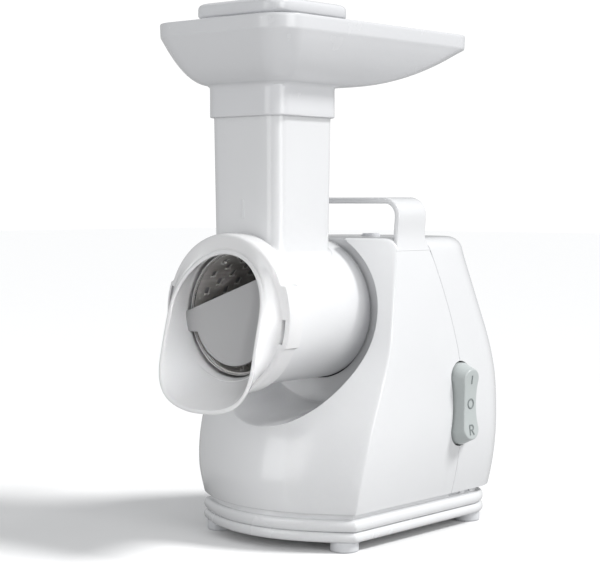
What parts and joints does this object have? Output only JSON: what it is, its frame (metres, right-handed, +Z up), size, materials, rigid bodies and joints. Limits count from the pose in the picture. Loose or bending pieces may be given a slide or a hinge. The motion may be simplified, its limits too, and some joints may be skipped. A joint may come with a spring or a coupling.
{
  "type": "electric meat grinder",
  "caption": "Countertop electric food grinder: motor body with carrying handle and rocker switch, grater drum head with feed tube, hopper tray, pusher and angled outlet.",
  "frame": {"origin": "on the table, under the middle of the whole machine", "axes": "+Z up, -Y towards the outlet at the front, +X towards the rocker switch"},
  "size_m": [0.1543, 0.2456, 0.341],
  "materials": {
    "shell_white": "gloss",
    "head_white": "gloss",
    "cap_white": "gloss",
    "tray_white": "gloss",
    "base_white": "gloss",
    "foot_rubber": "matte",
    "switch_grey": "satin",
    "button_white": "gloss",
    "switch_case": "matte",
    "drum_steel": "brushed",
    "hub_plastic": "matte",
    "gear_nylon": "satin",
    "shaft_steel": "satin",
    "gearbox_plastic": "matte",
    "bronze": "satin",
    "motor_iron": "satin",
    "copper": "satin",
    "fan_plastic": "satin",
    "bracket_alloy": "satin",
    "brush_black": "matte",
    "board_green": "satin",
    "gland_black": "matte"
  },
  "bodies": {
    "machine": {"base_frame": "base_white", "base_plate": "base_white", "base_screws": "shaft_steel", "brush_holders": "brush_black", "button_guide": "hub_plastic", "cable_gland": "gland_black", "control_board": "board_green", "field_coils": "copper", "foot_front_left": "foot_rubber", "foot_front_right": "foot_rubber", "foot_rear_left": "foot_rubber", "foot_rear_right": "foot_rubber", "front_cover": "shell_white", "gearbox_cover": "gearbox_plastic", "gearbox_housing": "gearbox_plastic", "gearbox_screws": "shaft_steel", "head_socket": "hub_plastic", "middle_shell": "shell_white", "motor_front_bearing": "shaft_steel", "motor_rear_bearing": "shaft_steel", "motor_rear_bracket": "bracket_alloy", "motor_stator": "motor_iron", "output_bushing": "bronze", "rear_shell": "shell_white", "release_spring": "shaft_steel", "switch_body": "switch_case"},
    "head": {"drum_housing": "head_white"},
    "outlet_cap": {"front_cap": "cap_white"},
    "tray": {"hopper_tray": "tray_white"},
    "pusher": {"pusher_body": "tray_white", "pusher_cap": "tray_white"},
    "drum": {"grater_drum": "drum_steel", "drum_rim": "drum_steel", "drum_hub": "hub_plastic"},
    "output": {"output_shaft": "shaft_steel", "output_gear": "gear_nylon"},
    "countershaft": {"intermediate_shaft": "shaft_steel", "intermediate_pinion": "shaft_steel", "intermediate_gear": "gear_nylon"},
    "rotor": {"rotor_shaft": "shaft_steel", "motor_pinion": "shaft_steel", "cooling_fan": "fan_plastic", "rotor_core": "motor_iron", "commutator": "copper"},
    "rocker": {"rocker_switch": "switch_grey"},
    "button": {"release_button": "button_white"}
  },
  "joints": [
    {"name": "head_twist", "type": "hinge", "parent": "machine", "child": "head", "pos_m": [-0.0045, -0.02, 0.148], "axis": [0, 1, 0], "range_deg": [0, 40]},
    {"name": "cap_twist", "type": "hinge", "parent": "head", "child": "outlet_cap", "pos_m": [-0.0045, -0.09, 0.148], "axis": [0, 1, 0], "range_deg": [0, 25]},
    {"name": "tray_lift", "type": "slide", "parent": "head", "child": "tray", "axis": [0, 0, 1], "range_m": [0, 0.04]},
    {"name": "pusher_lift", "type": "slide", "parent": "tray", "child": "pusher", "axis": [0, 0, 1], "range_m": [0, 0.14]},
    {"name": "drum_spin", "type": "hinge", "parent": "machine", "child": "drum", "pos_m": [-0.0045, -0.05, 0.148], "axis": [0, 1, 0], "continuous": true},
    {"name": "output_spin", "type": "hinge", "parent": "machine", "child": "output", "pos_m": [-0.0045, 0.01, 0.148], "axis": [0, 1, 0], "continuous": true},
    {"name": "countershaft_spin", "type": "hinge", "parent": "machine", "child": "countershaft", "pos_m": [-0.0045, 0.018, 0.10425], "axis": [0, 1, 0], "continuous": true},
    {"name": "rotor_spin", "type": "hinge", "parent": "machine", "child": "rotor", "pos_m": [-0.0045, 0.07, 0.07545], "axis": [0, 1, 0], "continuous": true},
    {"name": "rocker_tilt", "type": "hinge", "parent": "machine", "child": "rocker", "pos_m": [0.06086, 0.05, 0.0845], "axis": [0, 1, 0], "range_deg": [-7, 7]},
    {"name": "button_press", "type": "slide", "parent": "machine", "child": "button", "axis": [0, 0, -1], "range_m": [0, 0.003], "stiffness_N_per_m": 300, "springref_m": -0.002, "deforming": ["release_spring"]}
  ],
  "couplings": [
    {"joint": "output_spin", "follows": "drum_spin", "ratio": 1},
    {"joint": "countershaft_spin", "follows": "drum_spin", "ratio": -4},
    {"joint": "rotor_spin", "follows": "drum_spin", "ratio": 20}
  ]
}
